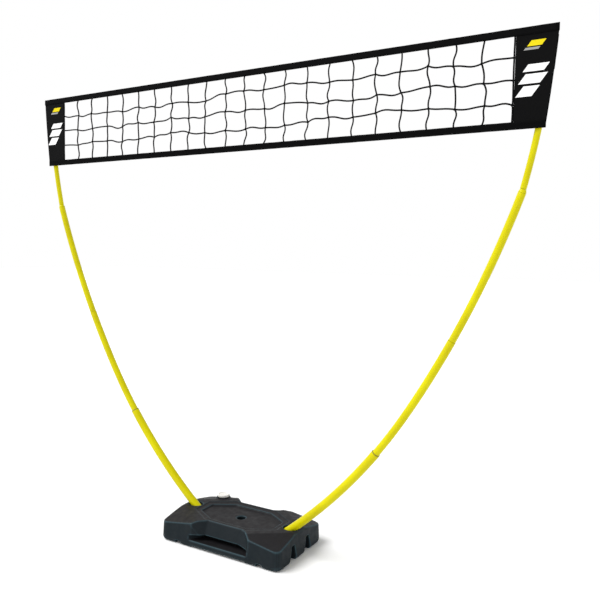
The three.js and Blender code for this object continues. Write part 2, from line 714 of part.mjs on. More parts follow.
function addNet() {
  addNetting();
  addBand('top', NET_HALF_TOP - 1, NET_TOP, 1);
  addBand('bottom', NET_HALF_BOTTOM + 1, NET_BOTTOM, -1);
  addPanels();
  const tip = upperBow.walk(UPPER_SPAN).z;
  addPair('pocket', channel(POCKET_BOTTOM, tip + POCKET_HEADROOM, POCKET_ROOM, true), blackFabric);
  addPair('loop', channel(LOOP_BOTTOM, LOOP_TOP, LOOP_ROOM, false), blackFabric);
}

addTank();
addFiller();
addPoles();
addNet();

export default part;
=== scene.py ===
# A small freestanding volleyball net on two bowed yellow poles and a black ballast tank.
# Metres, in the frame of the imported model: X along the net, front -Y, ground at Z = 0.
import math
import random

import bmesh
import bpy
from mathutils import Matrix, Vector, noise


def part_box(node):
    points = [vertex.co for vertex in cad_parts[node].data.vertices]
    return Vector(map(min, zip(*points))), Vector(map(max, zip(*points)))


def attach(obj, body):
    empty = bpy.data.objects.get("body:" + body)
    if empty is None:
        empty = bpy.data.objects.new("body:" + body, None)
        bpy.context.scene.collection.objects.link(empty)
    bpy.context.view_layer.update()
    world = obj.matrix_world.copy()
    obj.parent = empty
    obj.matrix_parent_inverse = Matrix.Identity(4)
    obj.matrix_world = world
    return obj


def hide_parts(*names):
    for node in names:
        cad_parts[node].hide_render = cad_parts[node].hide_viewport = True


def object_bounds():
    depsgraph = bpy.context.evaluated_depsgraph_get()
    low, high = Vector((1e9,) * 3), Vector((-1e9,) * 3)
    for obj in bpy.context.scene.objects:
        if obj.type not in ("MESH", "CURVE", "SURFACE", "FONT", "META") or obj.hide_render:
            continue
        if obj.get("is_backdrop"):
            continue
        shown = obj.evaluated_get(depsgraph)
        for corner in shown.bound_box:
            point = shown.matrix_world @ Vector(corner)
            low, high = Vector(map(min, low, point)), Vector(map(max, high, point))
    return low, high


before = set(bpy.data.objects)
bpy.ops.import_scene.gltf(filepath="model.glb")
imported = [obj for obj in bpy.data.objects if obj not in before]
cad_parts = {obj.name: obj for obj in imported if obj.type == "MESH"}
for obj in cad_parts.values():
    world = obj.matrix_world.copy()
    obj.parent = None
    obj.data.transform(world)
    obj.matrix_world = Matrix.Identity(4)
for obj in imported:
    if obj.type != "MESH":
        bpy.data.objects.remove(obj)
cad_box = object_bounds()
scene = bpy.context.scene

HANDS = {"right": 1, "left": -1}    # each pole's side of the middle
CORNERS = ((-1, -1), (1, -1), (1, 1), (-1, 1))
GAP = 0.0004                        # between pieces that sit or slide in each other
SEED = 7


# ---- node material helpers ----
WAVE_PERIOD = 0.314                 # a wave texture's period at scale 1


class Shader:
    """A principled material with short calls for its procedural inputs."""

    def __init__(self, name, **inputs):
        self.material = bpy.data.materials.new(name)
        self.material.use_nodes = True
        self.tree = self.material.node_tree
        self.bsdf = self.tree.nodes["Principled BSDF"]
        for key, value in inputs.items():
            self.bsdf.inputs[key.replace("_", " ")].default_value = value
        self.coords = self.node("ShaderNodeTexCoord").outputs["Object"]

    def node(self, kind, inputs=None, **settings):
        """A new node with its settings, and its inputs as values or as links."""
        made = self.tree.nodes.new(kind)
        for key, value in settings.items():
            setattr(made, key, value)
        for key, value in (inputs or {}).items():
            if isinstance(value, bpy.types.NodeSocket):
                self.tree.links.new(value, made.inputs[key])
            else:
                made.inputs[key].default_value = value
        return made

    def math(self, operation, a, b=0.0):
        return self.node("ShaderNodeMath", {0: a, 1: b}, operation=operation).outputs[0]

    def noise(self, scale, detail):
        inputs = {"Vector": self.coords, "Scale": scale, "Detail": detail}
        return self.node("ShaderNodeTexNoise", inputs).outputs["Fac"]

    def wave(self, direction, period):
        """Bands across a direction, repeating at period metres."""
        inputs = {"Vector": self.coords, "Scale": WAVE_PERIOD / period}
        return self.node("ShaderNodeTexWave", inputs, bands_direction=direction).outputs["Fac"]

    def ramp(self, value, low, high):
        """0 at low, 1 at high."""
        inputs = {"Value": value, "From Min": low, "From Max": high}
        return self.node("ShaderNodeMapRange", inputs).outputs[0]

    def patches(self, scale, detail):
        """Noise stretched so that it reaches both 0 and 1."""
        return self.ramp(self.noise(scale, detail), 0.3, 0.7)

    def facing_up(self):
        """How far the surface faces up, from -1 to 1."""
        normal = self.node("ShaderNodeNewGeometry").outputs["Normal"]
        return self.node("ShaderNodeSeparateXYZ", {0: normal}).outputs["Z"]

    def mix(self, factor, first, second):
        inputs = {0: factor, 6: first, 7: second}
        return self.node("ShaderNodeMix", inputs, data_type="RGBA").outputs[2]

    def colour(self, value):
        self.tree.links.new(value, self.bsdf.inputs["Base Color"])

    def roughness(self, texture, low, high):
        """Roughness from low, where the texture is 0, to high, where it is 1."""
        inputs = {"Value": texture, "To Min": low, "To Max": high}
        made = self.node("ShaderNodeMapRange", inputs)
        self.tree.links.new(made.outputs[0], self.bsdf.inputs["Roughness"])

    def bump(self, height, distance, strength=1.0):
        inputs = {"Height": height, "Distance": distance, "Strength": strength}
        made = self.node("ShaderNodeBump", inputs)
        self.tree.links.new(made.outputs[0], self.bsdf.inputs["Normal"])


# ---- the materials ----
THREAD_PITCH = 0.0016
RIB_PITCH = 0.0012
STRAND_PITCH = WAVE_PERIOD / 260
BLACK_THREAD = (0.0008, 0.0008, 0.0009, 1)
EDGE_HIGHLIGHT_POINTINESS = (0.505, 0.545)    # where the painted edge highlight begins and is full


def yellow_paint():
    """Powder coat with a slight orange peel and a soft, uneven gloss."""
    s = Shader("yellow_powder_coat", Specular_IOR_Level=0.12, Coat_Weight=0.05,
               Coat_Roughness=0.2)
    s.colour(s.mix(s.patches(9, 2), (0.53, 0.47, 0.0, 1), (0.61, 0.56, 0.0, 1)))
    s.roughness(s.noise(140, 4), 0.1875, 0.5)
    s.bump(s.noise(900, 2), 0.00006, 0.5)
    return s.material


def tank_plastic():
    """Blow-moulded polyethylene: satin and faintly pebbled, with a painted highlight along its
    edges and painted light that makes its sides bluer than its top.
    """
    s = Shader("tank_plastic", Specular_IOR_Level=0.15)
    pointiness = s.node("ShaderNodeNewGeometry").outputs["Pointiness"]
    # painted highlight: a pale teal along the sharply curved edges
    edge = s.math("MULTIPLY", s.ramp(pointiness, *EDGE_HIGHLIGHT_POINTINESS), 0.85)
    # painted light: faces turned up get a neutral tone, the sides a bluer one
    painted_top_light = s.ramp(s.facing_up(), 0.3, 0.95)
    body = s.mix(painted_top_light, (0.003, 0.008, 0.011, 1), (0.008, 0.007, 0.008, 1))
    cloud = s.math("MULTIPLY", s.patches(14, 4), 0.25)
    body = s.mix(cloud, body, (0.020, 0.022, 0.025, 1))
    # the pale teal here is the painted edge highlight
    s.colour(s.mix(edge, body, (0.040, 0.080, 0.098, 1)))
    s.roughness(s.noise(60, 3), 0.36, 0.76)
    s.bump(s.noise(520, 3), 0.00018, 0.6)
    return s.material


def moulded(name, colour, roughness):
    """Small injection-moulded pieces: a fine grain and a slightly uneven tint and gloss."""
    s = Shader(name)
    darker = tuple(channel * 0.86 for channel in colour[:3]) + (1,)
    grain = s.noise(600, 3)
    s.colour(s.mix(s.patches(30, 2), darker, colour))
    s.roughness(grain, roughness - 0.125, roughness + 0.125)
    s.bump(grain, 0.00005, 0.5)
    return s.material


def sand_fill():
    """Dry sand, grain by grain."""
    s = Shader("sand_fill", Roughness=0.95)
    grains = s.noise(900, 4)
    s.colour(s.mix(grains, (0.30, 0.22, 0.12, 1), (0.60, 0.48, 0.30, 1)))
    s.bump(grains, 0.0006)
    return s.material


def twisted_cord():
    """Braided cord: strands that slant across whichever way the cord runs."""
    s = Shader("twisted_cord", Roughness=0.9, Specular_IOR_Level=0.08)
    strands = s.wave("DIAGONAL", STRAND_PITCH)
    s.colour(s.mix(strands, (0.001, 0.001, 0.001, 1), (0.007, 0.007, 0.0075, 1)))
    s.bump(strands, 0.0004, 0.8)
    return s.material


def tape_weave():
    """Ribbed binding tape."""
    s = Shader("binding_tape", Roughness=0.9, Specular_IOR_Level=0.06)
    ribs = s.wave("X", RIB_PITCH)
    s.colour(s.mix(ribs, BLACK_THREAD, (0.0034, 0.0034, 0.0038, 1)))
    s.bump(s.math("ADD", ribs, s.math("MULTIPLY", s.noise(60, 3), 2.0)), 0.0003, 0.6)
    return s.material


def fabric(name, prints=False):
    """Black plain weave, highest where warp and weft cross, with printed marks or without."""
    s = Shader(name, Roughness=0.85, Specular_IOR_Level=0.10)
    threads = s.math("MULTIPLY", s.wave("X", THREAD_PITCH), s.wave("Z", THREAD_PITCH))
    base = s.mix(threads, BLACK_THREAD, (0.0030, 0.0030, 0.0034, 1))
    if prints:
        base = printed_marks(s, base)
    s.colour(base)
    s.bump(s.math("ADD", threads, s.math("MULTIPLY", s.noise(90, 3), 1.5)), 0.0003, 0.6)
    return s.material


PRINT_MIDDLE = 0.045                # from a panel's inner edge to the middle of its marks
PRINT_LEAN = 0.75                   # sideways for each unit up
PRINT_DEPTH = 0.0016                # how far behind a panel's front face ink may show
YELLOW_INK = (0.74, 0.60, 0.01, 1)
GREY_INK = (0.32, 0.32, 0.31, 1)
WHITE_INK = (0.86, 0.86, 0.85, 1)
# each printed bar's place beside the middle, height above the ground, width, height and ink
PRINTS = [
    (0.006, 1.507, 0.036, 0.014, YELLOW_INK),
    (-0.005, 1.494, 0.036, 0.006, GREY_INK),
    (0.007, 1.446, 0.052, 0.018, WHITE_INK),
    (0.000, 1.419, 0.054, 0.024, WHITE_INK),
    (-0.012, 1.388, 0.040, 0.026, WHITE_INK),
]


def leaning_bar(s, x, z, centre, width, height):
    """1 inside a bar whose ends lean, 0 outside."""
    dz = s.math("SUBTRACT", z, centre[1])
    lean = s.math("MULTIPLY", dz, PRINT_LEAN)
    dx = s.math("SUBTRACT", s.math("SUBTRACT", x, centre[0]), lean)
    inside_x = s.math("LESS_THAN", s.math("ABSOLUTE", dx), width / 2)
    inside_z = s.math("LESS_THAN", s.math("ABSOLUTE", dz), height / 2)
    return s.math("MULTIPLY", inside_x, inside_z)


def printed_marks(s, base):
    """Plain leaning bars on the front of each panel, both panels printed the same way."""
    split = s.node("ShaderNodeSeparateXYZ", {0: s.coords})
    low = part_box("right_panel")[0]
    front = s.math("LESS_THAN", split.outputs["Y"], low.y + PRINT_DEPTH)
    for side in HANDS.values():
        middle = side * (low.x + PRINT_MIDDLE)
        for beside, level, width, height, ink in PRINTS:
            bar = leaning_bar(s, split.outputs["X"], split.outputs["Z"],
                              (middle + beside, level), width, height)
            base = s.mix(s.math("MULTIPLY", bar, front), base, ink)
    return base


# ---- mesh helpers ----
TUBE_SIDES = 48
SHARP_ANGLE = math.radians(35)
SOFTEN_PASSES = 12


def new_piece(name, mesh, body, node, material):
    """A piece that rides on a body and stands for a CAD node, if one is named."""
    piece = bpy.data.objects.new(name, mesh)
    scene.collection.objects.link(piece)
    mesh.materials.append(material)
    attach(piece, body)
    if node:
        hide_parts(node)
    return piece


def mesh_from(name, verts, faces, smooth=True, weld=False):
    """A mesh with its faces turned outward. weld joins vertices that share one place."""
    mesh = bpy.data.meshes.new(name)
    mesh.from_pydata([tuple(vert) for vert in verts], [], faces)
    mesh.update()
    tool = bmesh.new()
    tool.from_mesh(mesh)
    if weld:
        bmesh.ops.remove_doubles(tool, verts=tool.verts, dist=1e-6)
        bmesh.ops.dissolve_degenerate(tool, edges=tool.edges, dist=1e-7)
    bmesh.ops.recalc_face_normals(tool, faces=tool.faces)
    tool.to_mesh(mesh)
    tool.free()
    for polygon in mesh.polygons:
        polygon.use_smooth = smooth
    return mesh


def ring_faces(rings, size, closed):
    """Quads between rings of vertices, and from the last ring to the first if closed."""
    faces = []
    for ring in range(rings if closed else rings - 1):
        here = ring * size
        there = (ring + 1) % rings * size
        for k in range(size):
            j = (k + 1) % size
            faces.append((here + k, here + j, there + j, there + k))
    return faces


def circle(radius, sides):
    """Points evenly round a circle."""
    angles = [2 * math.pi * k / sides for k in range(sides)]
    return [(radius * math.cos(angle), radius * math.sin(angle)) for angle in angles]


def revolve(name, profile, place, sides=TUBE_SIDES, flutes=0, depth=0.0):
    """A closed profile of (radius, height) turned about an axis. place maps (x, y, height)
    into the frame. flutes cuts that many grooves of a given depth into the outer face."""
    outer_face = max(radius for radius, _ in profile) * 0.93
    verts = []
    for i in range(sides):
        angle = 2 * math.pi * i / sides
        dent = depth * max(0.0, math.cos(flutes * angle))
        for radius, height in profile:
            reach = radius - dent if radius > outer_face else radius
            verts.append(place(reach * math.cos(angle), reach * math.sin(angle), height))
    return mesh_from(name, verts, ring_faces(sides, len(profile), closed=True), weld=True)


def sharpen(mesh, angle=SHARP_ANGLE):
    """Keeps flat shading across sharp edges."""
    mesh.set_sharp_from_angle(angle=angle)


def repaint(node, material):
    """Gives a carried CAD node a procedural material and smooth shading."""
    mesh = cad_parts[node].data
    mesh.materials.clear()
    mesh.materials.append(material)
    mesh.shade_smooth()
    sharpen(mesh)


def connected(start, waiting):
    """The vertices joined to one vertex, taken out of those still waiting."""
    island = []
    reached = [start]
    while reached:
        vert = reached.pop()
        island.append(vert)
        for edge in vert.link_edges:
            other = edge.other_vert(vert)
            if other in waiting:
                waiting.remove(other)
                reached.append(other)
    return island


def drop_specks(mesh):
    """Keeps the largest island only: a voxel remesh leaves specks inside thin walls."""
    tool = bmesh.new()
    tool.from_mesh(mesh)
    waiting = set(tool.verts)
    islands = []
    while waiting:
        islands.append(connected(waiting.pop(), waiting))
    islands.sort(key=len)
    specks = [vert for island in islands[:-1] for vert in island]
    bmesh.ops.delete(tool, geom=specks, context="VERTS")
    tool.to_mesh(mesh)
    tool.free()


def smooth_solid(name, node, voxel):
    """A CAD node's own shape with its edges rounded over, as a new mesh."""
    work = bpy.data.objects.new(f"{name}_work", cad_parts[node].data.copy())
    scene.collection.objects.link(work)
    remesh = work.modifiers.new("remesh", "REMESH")
    remesh.mode = "VOXEL"
    remesh.voxel_size = voxel
    soften = work.modifiers.new("soften", "SMOOTH")
    soften.factor = 0.5
    soften.iterations = SOFTEN_PASSES
    graph = bpy.context.evaluated_depsgraph_get()
    mesh = bpy.data.meshes.new_from_object(work.evaluated_get(graph))
    mesh.name = name
    mesh.materials.clear()
    bpy.data.objects.remove(work)
    drop_specks(mesh)
    mesh.shade_smooth()
    return mesh


# ---- the poles, from the same driving dimensions as the CAD model ----
WELL = (0.200, 0.086)               # X and Z where a centre line meets the tank's top
WELL_HEADING = math.radians(39.5)
BOW_RADIUS = 1.770                  # arc shared by the lower tube and what slides in it
WELL_SPAN = 0.092                   # length of the lower tube inside the tank
LOWER_SPAN = 0.405                  # visible length of the lower tube
TRAVEL = 0.150                      # how far the middle tube can slide down
TRAVEL_MARGIN = 0.012               # extra length that keeps the shared curve
TAIL_MARGIN = 0.020                 # extra length of the hidden tail
TAIL_START = LOWER_SPAN - TRAVEL - TAIL_MARGIN
TAIL_ARC = LOWER_SPAN + TRAVEL + TRAVEL_MARGIN - TAIL_START
LOWER_MID_SPAN = 0.266              # above the part that slides into the lower tube
UPPER_MID_SPAN = 0.438
MID_RADIUS = 3.0
UPPER_HEADING = math.radians(76)    # where the upper tube leaves its kink
UPPER_SPAN = 0.386
UPPER_RADIUS = 2.2
OUTER = {"lower": 0.0135, "lower_mid": 0.0115, "upper_mid": 0.01075, "upper": 0.0085}
TUBE_WALL = 0.0012
TUBE_STEP = 0.02
COLLAR = 0.003                      # height of the ring at the lower tube's mouth
COLLAR_ROUNDING = 0.001
SHOULDER = 0.009                    # height of the reducer's visible shoulder
SHOULDER_STEPS = 8
SPIGOT = 0.032                      # the reducer's stem in the upper middle tube
SPIGOT_TIP = 0.004                  # and in the upper tube
SPIGOT_ROOM = 0.0006                # between the stems and the tubes round them
PINHOLE = 0.0005                    # radius of the hole along the reducer's middle


class Bow:
    """A plane curve in X and Z: a start, a heading and arcs of given span and radius."""

    def __init__(self, start, heading, arcs):
        self.start, self.heading, self.arcs = start, heading, arcs
        self.length = sum(span for span, _ in arcs)

    def walk(self, distance):
        """The place and heading at a distance. The last arc runs on past its end."""
        x, z = self.start
        heading, left = self.heading, distance
        for i, (span, radius) in enumerate(self.arcs):
            step = left if i == len(self.arcs) - 1 else min(max(left, 0), span)
            turned = heading + step / radius
            x += radius * (math.sin(turned) - math.sin(heading))
            z += radius * (math.cos(heading) - math.cos(turned))
            heading = turned
            left -= step
        return x, z, heading

    def after(self, distance, arcs):
        """A new curve that starts on this one and keeps its heading."""
        x, z, heading = self.walk(distance)
        return Bow((x, z), heading, arcs)


shared = Bow(WELL, WELL_HEADING, [(LOWER_SPAN, BOW_RADIUS)])
lower = shared.after(-WELL_SPAN, [(WELL_SPAN + LOWER_SPAN, BOW_RADIUS)])
lower_mid = shared.after(TAIL_START, [(TAIL_ARC, BOW_RADIUS),
                                      (LOWER_MID_SPAN - TRAVEL_MARGIN, MID_RADIUS)])
upper_mid = lower_mid.after(lower_mid.length, [(UPPER_MID_SPAN, MID_RADIUS)])
kink_x, kink_z, kink_heading = upper_mid.walk(UPPER_MID_SPAN)
upper = Bow((kink_x, kink_z), UPPER_HEADING, [(UPPER_SPAN, UPPER_RADIUS)])


def on_curve(bow, distance, side):
    """Places a turned piece so that its height runs up the curve."""
    x0, z0, heading = bow.walk(distance)
    up = (math.cos(heading), math.sin(heading))
    out = (math.sin(heading), -math.cos(heading))

    def place(x, y, height):
        return (side * (x0 + out[0] * x + up[0] * height), y, z0 + out[1] * x + up[1] * height)
    return place


def swept(name, bow, rings, side):
    """A closed surface of rings along a curve, each (distance, radius)."""
    verts = []
    for distance, radius in rings:
        place = on_curve(bow, distance, side)
        verts += [place(x, y, 0) for x, y in circle(radius, TUBE_SIDES)]
    return mesh_from(name, verts, ring_faces(len(rings), TUBE_SIDES, closed=True))


def tube_rings(start, end, outer):
    """Outside going up and inside coming down, with both rims rounded over."""
    rim = TUBE_WALL / 2
    eighth = math.pi / 4

    def rim_point(edge, inward, eighths):
        angle = eighths * eighth
        return (edge + inward * rim * (1 - math.sin(angle)), outer - rim + rim * math.cos(angle))

    steps = max(4, round((end - start) / TUBE_STEP))
    up = [start + rim + (end - start - 2 * rim) * i / steps for i in range(steps + 1)]
    rings = [rim_point(start, 1, 2), rim_point(start, 1, 1)]
    rings += [(distance, outer) for distance in up]
    rings += [rim_point(end, -1, eighths) for eighths in (1, 2, 3)]
    rings += [(distance, outer - TUBE_WALL) for distance in reversed(up)]
    rings += [rim_point(start, 1, 3)]
    return rings


def build_tubes(hand, side, material):
    """The four painted tubes. The lower one stands in the tank, the others slide."""
    lean = UPPER_HEADING - kink_heading
    upper_start = SHOULDER + GAP + OUTER["upper"] * math.sin(lean)
    tubes = {
        "lower": (lower, 0, lower.length),
        "lower_mid": (lower_mid, 0, lower_mid.length),
        "upper_mid": (upper_mid, GAP, UPPER_MID_SPAN),
        "upper": (upper, upper_start, UPPER_SPAN),
    }
    for part, (bow, start, end) in tubes.items():
        node = f"{hand}_{part}_tube"
        body = "tank" if part == "lower" else f"{hand}_pole"
        mesh = swept(node, bow, tube_rings(start, end, OUTER[part]), side)
        new_piece(f"{node}_paint", mesh, body, node, material)


def build_collar(hand, side, material):
    """The ring at the lower tube's mouth, its top edge rounded."""
    inner, outer = OUTER["lower_mid"] + GAP, OUTER["lower"]
    profile = [
        (inner, 0), (outer, 0), (outer, COLLAR - COLLAR_ROUNDING),
        (outer - GAP, COLLAR - GAP), (outer - COLLAR_ROUNDING, COLLAR), (inner, COLLAR),
    ]
    mesh = revolve("collar", profile, on_curve(shared, LOWER_SPAN + GAP, side))
    sharpen(mesh)
    new_piece(f"{hand}_mouth_ring", mesh, "tank", f"{hand}_mouth_collar", material)


def build_reducer(hand, side, material):
    """The moulded plug under the thinnest tube: stem, eased shoulder and upper stem."""
    wide, narrow = OUTER["upper_mid"], OUTER["upper"]
    stem = wide - TUBE_WALL - SPIGOT_ROOM
    tip = narrow - TUBE_WALL - SPIGOT_ROOM
    seat, top = UPPER_MID_SPAN + GAP, UPPER_MID_SPAN + SHOULDER
    rings = [(UPPER_MID_SPAN - SPIGOT, PINHOLE), (UPPER_MID_SPAN - SPIGOT, stem), (seat, stem)]
    for i in range(SHOULDER_STEPS + 1):
        share = i / SHOULDER_STEPS
        ease = 0.5 - 0.5 * math.cos(math.pi * share)
        rings.append((seat + (top - seat) * share, wide + (narrow - wide) * ease))
    rings += [(top, tip), (top + SPIGOT_TIP, tip), (top + SPIGOT_TIP, PINHOLE)]
    mesh = swept("reducer", upper_mid, rings, side)
    sharpen(mesh, math.radians(50))
    new_piece(f"{hand}_reducer", mesh, f"{hand}_pole", f"{hand}_reducer_plug", material)


def build_poles():
    """Both poles, mirror images of each other."""
    yellow = yellow_paint()
    dark = moulded("moulded_black", (0.016, 0.016, 0.017, 1), 0.5125)
    olive = moulded("moulded_olive", (0.26, 0.23, 0.004, 1), 0.5)
    for hand, side in HANDS.items():
        build_tubes(hand, side, yellow)
        build_collar(hand, side, olive)
        build_reducer(hand, side, yellow)
        for node in ("tail_guide", "mid_coupler", "tip_cap"):
            repaint(f"{hand}_{node}", dark)


# ---- the tank ----
TANK_VOXEL = 0.0020
CAP_PLUG = 0.014                    # radius of the cap's plug in the filler hole
CAP_LEAD = 0.0015                   # bevel at the plug's end
CAP_EDGE = 0.0006                   # how far the bevels at the cap's side go in ...
CAP_BEVEL = 0.0008                  # ... and up or down
CAP_CORNER = 0.002                  # from the cap's side to where its rim is level
CAP_RIM = 0.005                     # from the cap's side to its rim's inner edge
CAP_HOLLOW = 0.0022                 # depth of the hollow inside the rim
CAP_FLARE = 0.0018                  # how far the hollow's wall slopes in
CAP_FLUTES = 24
FLUTE_DEPTH = 0.0009
GRIP_ROOM = 0.0075                  # from the cap's side to the end of its grip bar
GRIP_HALF_WIDTH = 0.0028
GRIP_SUNK = 0.0002                  # how far the grip bar goes into the hollow's floor
GRIP_PINCH = 0.8                    # how much narrower the grip bar is at its top
SEAL_BORE = 0.0165


def build_tank():
    """The tank's rounded skin, and the sand inside it."""
    mesh = smooth_solid("tank", "base_shell", TANK_VOXEL)
    new_piece("tank_skin", mesh, "tank", "base_shell", tank_plastic())
    repaint("ballast_fill", sand_fill())


def build_cap(place, white):
    """The filler cap: a plug, a fluted rim and a hollow top."""
    low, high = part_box("filler_cap")
    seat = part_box("cap_seal")[1].z + GAP
    top, hollow = high.z, high.z - CAP_HOLLOW
    outer = (high.x - low.x) / 2
    inner = outer - CAP_RIM
    profile = [
        (0.0, low.z), (CAP_PLUG - CAP_LEAD, low.z), (CAP_PLUG, low.z + CAP_LEAD),
        (CAP_PLUG, seat), (outer - CAP_EDGE, seat), (outer, seat + CAP_BEVEL),
        (outer, hollow), (outer - CAP_EDGE, top - CAP_BEVEL), (outer - CAP_CORNER, top),
        (inner, top), (inner - CAP_BEVEL, top - CAP_EDGE), (inner - CAP_FLARE, hollow),
        (0.0, hollow),
    ]
    mesh = revolve("cap", profile, place, sides=6 * CAP_FLUTES, flutes=CAP_FLUTES,
                   depth=FLUTE_DEPTH)
    sharpen(mesh, math.radians(40))
    new_piece("screw_cap", mesh, "cap", "filler_cap", white)


def build_grip_bar(place, white):
    """The bar across the cap's hollow, for turning it."""
    low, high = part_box("filler_cap")
    half = (high.x - low.x) / 2 - GRIP_ROOM
    verts = []
    for height, pinch in ((high.z - CAP_HOLLOW - GRIP_SUNK, 1.0), (high.z - GAP, GRIP_PINCH)):
        verts += [place(x * half * pinch, y * GRIP_HALF_WIDTH * pinch, height)
                  for x, y in CORNERS]
    faces = [(0, 1, 2, 3), (7, 6, 5, 4)] + ring_faces(2, 4, closed=False)
    mesh = mesh_from("grip", verts, faces, smooth=False)
    grip = new_piece("cap_grip_bar", mesh, "cap", None, white)
    bevel = grip.modifiers.new("bevel", "BEVEL")
    bevel.width = 0.0005
    bevel.segments = 3


def build_washer(place):
    """The flat seal under the cap, with a round outer edge."""
    low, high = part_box("cap_seal")
    thickness = high.z - low.z
    edge = (high.x - low.x) / 2 - thickness
    profile = []
    for k in range(-2, 3):
        angle = math.pi * k / 4
        profile.append((edge + thickness * math.cos(angle),
                        low.z + thickness / 2 * (1 + math.sin(angle))))
    profile += [(SEAL_BORE, high.z), (SEAL_BORE, low.z)]
    rubber = moulded("seal_rubber", (0.02, 0.02, 0.021, 1), 0.45)
    new_piece("cap_washer", revolve("washer", profile, place, sides=96), "seal", "cap_seal",
              rubber)


def build_filler():
    """The cap, its grip and its seal, all about the filler hole's axis."""
    low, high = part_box("filler_cap")
    middle = (low + high) / 2

    def place(x, y, height):
        return (middle.x + x, middle.y + y, height)

    white = moulded("moulded_white", (0.84, 0.82, 0.78, 1), 0.525)
    build_cap(place, white)
    build_grip_bar(place, white)
    build_washer(place)


# ---- the netting ----
COLUMNS = 22
ROWS = 4
CORD_RADIUS = 0.0024
CORD_SIDES = 6
CORD_STEPS = 8                      # between two knots
CORD_BOW = 0.005                    # how far a cord may bow between two knots
CORD_SKEW = 0.003                   # and how far it may wave
TIGHT = 0.15                        # share of that slack in the end uprights
KNOT_RADIUS = 0.0036
KNOT_WIDTH = 1.1                    # a knot's stretch along the net and through it
KNOT_DEPTH = 0.72
KNOT_LUMPS = 0.18
WANDER = 0.016                      # how far a knot may lie from its even place
WANDER_RATE = 9.0
TAPE_WANDER = 0.3                   # share of that along the tapes
TUCK = 0.009                        # how far the upright cords go into the tapes


def wander(x, z):
    """A small steady displacement that depends only on the place."""
    point = Vector((x * WANDER_RATE, z * WANDER_RATE, SEED))
    elsewhere = point + Vector((5.2, 1.3, 0))
    return noise.noise(point) * WANDER, noise.noise(elsewhere) * WANDER


def crossing_grid():
    """The points where cords cross, as grid[column][row], wandering inside the net's frame."""
    low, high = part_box("netting")
    bottom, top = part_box("bottom_band")[1].z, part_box("top_band")[0].z
    first, last = low.x + CORD_RADIUS, high.x - CORD_RADIUS

    def crossing(column, row):
        x = first + (last - first) * column / COLUMNS
        z = bottom + (top - bottom) * row / ROWS
        dx, dz = wander(x, z)
        if row in (0, ROWS):
            dx, dz = dx * TAPE_WANDER, 0
        if column in (0, COLUMNS):
            dx = 0
        return Vector((x + dx, (low.y + high.y) / 2, z + dz))

    return [[crossing(c, r) for r in range(ROWS + 1)] for c in range(COLUMNS + 1)]


def slack_run(knots, rng, slack=1.0):
    """Points along a cord that bows a little to one side between its knots."""
    points = []
    for start, end in zip(knots, knots[1:]):
        span = end - start
        normal = Vector((-span.z, 0, span.x)).normalized()
        bow = rng.uniform(-CORD_BOW, CORD_BOW) * slack
        skew = rng.uniform(-CORD_SKEW, CORD_SKEW) * slack
        for i in range(CORD_STEPS):
            share = i / CORD_STEPS
            off = bow * math.sin(math.pi * share) + skew * math.sin(2 * math.pi * share)
            points.append(start + span * share + normal * off)
    points.append(knots[-1])
    return points


def cord_surface(points):
    """Vertices and faces of a closed cord through points that lie near one plane."""
    verts = []
    for i, point in enumerate(points):
        before = points[max(i - 1, 0)]
        after = points[min(i + 1, len(points) - 1)]
        along = (after - before).normalized()
        side = along.cross(Vector((0, 1, 0))).normalized()
        across = along.cross(side)
        verts += [point + side * a + across * b for a, b in circle(CORD_RADIUS, CORD_SIDES)]
    faces = ring_faces(len(points), CORD_SIDES, closed=False)
    faces.append(tuple(range(CORD_SIDES)))
    faces.append(tuple(len(verts) - 1 - k for k in range(CORD_SIDES)))
    return verts, faces


def knot(centre):
    """A small lumpy knot where two cords are tied, flattened from front to back."""
    tool = bmesh.new()
    bmesh.ops.create_icosphere(tool, subdivisions=2, radius=KNOT_RADIUS)
    verts = []
    for vert in tool.verts:
        x, y, z = vert.co
        swell = 1 + KNOT_LUMPS * math.sin(x * 2600 + z * 2100)
        verts.append(Vector((x * KNOT_WIDTH, y * KNOT_DEPTH, z)) * swell + centre)
    faces = [tuple(vert.index for vert in face.verts) for face in tool.faces]
    tool.free()
    return verts, faces


def joined(parts):
    """One list of vertices and one of faces from several."""
    verts, faces = [], []
    for part_verts, part_faces in parts:
        base = len(verts)
        verts += part_verts
        faces += [tuple(index + base for index in face) for face in part_faces]
    return verts, faces


def build_netting(material):
    """Upright and level cords with a knot at every crossing. The end uprights hang tight."""
    rng = random.Random(SEED)
    grid = crossing_grid()
    tuck = Vector((0, 0, TUCK))
    parts = []
    for column, knots in enumerate(grid):
        slack = 1.0 if 0 < column < COLUMNS else TIGHT
        run = [knots[0] - tuck] + knots + [knots[-1] + tuck]
        parts.append(cord_surface(slack_run(run, rng, slack)))
        parts += [knot(centre) for centre in knots[1:-1]]
    for row in range(1, ROWS):
        parts.append(cord_surface(slack_run([knots[row] for knots in grid], rng)))
    mesh = mesh_from("netting", *joined(parts))
    new_piece("knotted_netting", mesh, "net", "netting", material)


# ---- the tapes along the net's long edges ----
TAPE_STEP = 0.012
TAPE_INSET = 0.0006                 # room for the tape's swelling inside the CAD node
TAPE_SLOT = 0.0017                  # half the space between its two layers
TAPE_FOLD = 0.0035                  # depth of the rounded fold
TAPE_CREASE = 0.0028                # depth of the crease inside it
FOLD_TOP = 0.0002
TAPE_HEM = 0.001                    # how far its open edges taper
STITCH_FROM_EDGE = 0.004
STITCH_HALF = 0.0012                # half the width of the ridge under the stitches
STITCH_HEIGHT = 0.0005
PUCKER = 0.0009
PUCKER_RATE = 38
SWELL = 0.10                        # share by which a tape's thickness varies


